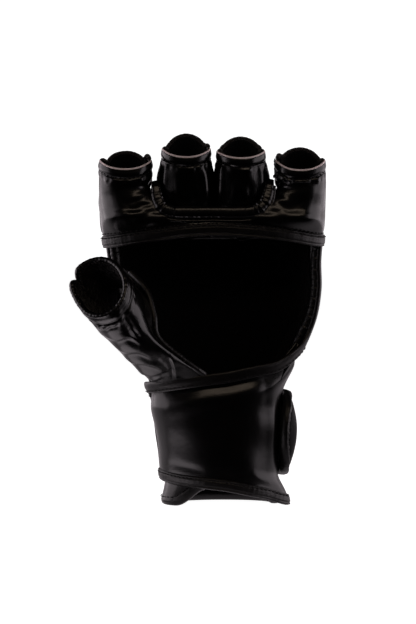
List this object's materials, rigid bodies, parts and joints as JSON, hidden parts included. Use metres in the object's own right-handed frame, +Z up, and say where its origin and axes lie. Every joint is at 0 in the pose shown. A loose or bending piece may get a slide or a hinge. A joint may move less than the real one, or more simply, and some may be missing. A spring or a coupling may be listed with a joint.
{
  "type": "mma glove",
  "caption": "Open-palm grappling glove for the left hand, with padded finger sleeves, a thumb sleeve and a wrist wrap closed by a hook-and-loop tab.",
  "frame": {"origin": "centre of the overall box at the foot of the cuff, on the surface that the glove stands on", "axes": "+Z up along the fingers, -Y out of the palm, +X towards the little finger"},
  "size_m": [0.1546, 0.0916, 0.2235],
  "materials": {
    "leather": "glossy black synthetic leather with a fine grain",
    "binding": "satin black rolled binding",
    "lining": "matt black knitted lining",
    "foam": "dark closed-cell foam",
    "hook_tape": "black hook tape",
    "loop_tape": "black loop tape"
  },
  "bodies": {
    "hand": {"back_foam": "foam", "back_lining": "lining", "back_shell": "leather", "cuff_binding": "binding", "cuff_foam": "foam", "cuff_lining": "lining", "cuff_shell": "leather", "knuckle_foam": "foam", "loop_patch": "loop_tape", "palm_band": "leather", "palm_band_binding": "binding", "palm_band_lining": "lining", "palm_binding_index_side": "binding", "palm_binding_little_side": "binding", "palm_pocket_binding": "binding", "thenar_binding": "binding", "thenar_lining": "lining", "thenar_panel": "leather", "wrap_bottom_binding": "binding", "wrap_top_binding": "binding", "wrist_wrap": "leather"},
    "tab": {"hook_patch": "hook_tape", "strap_tab": "leather", "tab_binding": "binding"},
    "index_sleeve_body": {"index_lining": "lining", "index_pad_binding": "binding", "index_pad_cover": "leather", "index_pad_foam": "foam", "index_rim_binding": "binding", "index_sleeve": "leather"},
    "little_sleeve_body": {"little_lining": "lining", "little_pad_binding": "binding", "little_pad_cover": "leather", "little_pad_foam": "foam", "little_rim_binding": "binding", "little_sleeve": "leather"},
    "middle_sleeve_body": {"middle_lining": "lining", "middle_pad_binding": "binding", "middle_pad_cover": "leather", "middle_pad_foam": "foam", "middle_rim_binding": "binding", "middle_sleeve": "leather"},
    "ring_sleeve_body": {"ring_lining": "lining", "ring_pad_binding": "binding", "ring_pad_cover": "leather", "ring_pad_foam": "foam", "ring_rim_binding": "binding", "ring_sleeve": "leather"},
    "strap": {"strap_back_run": "leather", "strap_bottom_binding": "binding", "strap_top_binding": "binding"},
    "thumb_body": {"thumb_lining": "lining", "thumb_pad_foam": "foam", "thumb_rim_binding": "binding", "thumb_sleeve": "leather"}
  },
  "joints": [
    {"name": "index_curl", "type": "hinge", "parent": "hand", "child": "index_sleeve_body", "pos_m": [-0.0439, 0.0065, 0.174], "axis": [1, 0, 0], "range_deg": [-8, 28], "stiffness_Nm_per_rad": 0.15},
    {"name": "middle_curl", "type": "hinge", "parent": "hand", "child": "middle_sleeve_body", "pos_m": [-0.0083, 0.0065, 0.181], "axis": [1, 0, 0], "range_deg": [-8, 28], "stiffness_Nm_per_rad": 0.15},
    {"name": "ring_curl", "type": "hinge", "parent": "hand", "child": "ring_sleeve_body", "pos_m": [0.0255, 0.0065, 0.181], "axis": [1, 0, 0], "range_deg": [-8, 28], "stiffness_Nm_per_rad": 0.15},
    {"name": "little_curl", "type": "hinge", "parent": "hand", "child": "little_sleeve_body", "pos_m": [0.0605, 0.0065, 0.174], "axis": [1, 0, 0], "range_deg": [-8, 28], "stiffness_Nm_per_rad": 0.15},
    {"name": "thumb_swing", "type": "hinge", "parent": "hand", "child": "thumb_body", "pos_m": [-0.0289, -0.0095, 0.091], "axis": [0, 0, 1], "range_deg": [-8, 12], "stiffness_Nm_per_rad": 0.2},
    {"name": "strap_open", "type": "hinge", "parent": "hand", "child": "strap", "pos_m": [-0.0261, 0.009, 0.043], "axis": [-0.1459, 0, 0.9893], "range_deg": [0, 80]},
    {"name": "tab_peel", "type": "hinge", "parent": "strap", "child": "tab", "pos_m": [0.03846, 0.02967, 0.04295], "axis": [0, 0, 1], "range_deg": [0, 40]}
  ],
  "couplings": [
    {"joint": "tab_peel", "follows": "strap_open", "ratio": 0.5}
  ]
}
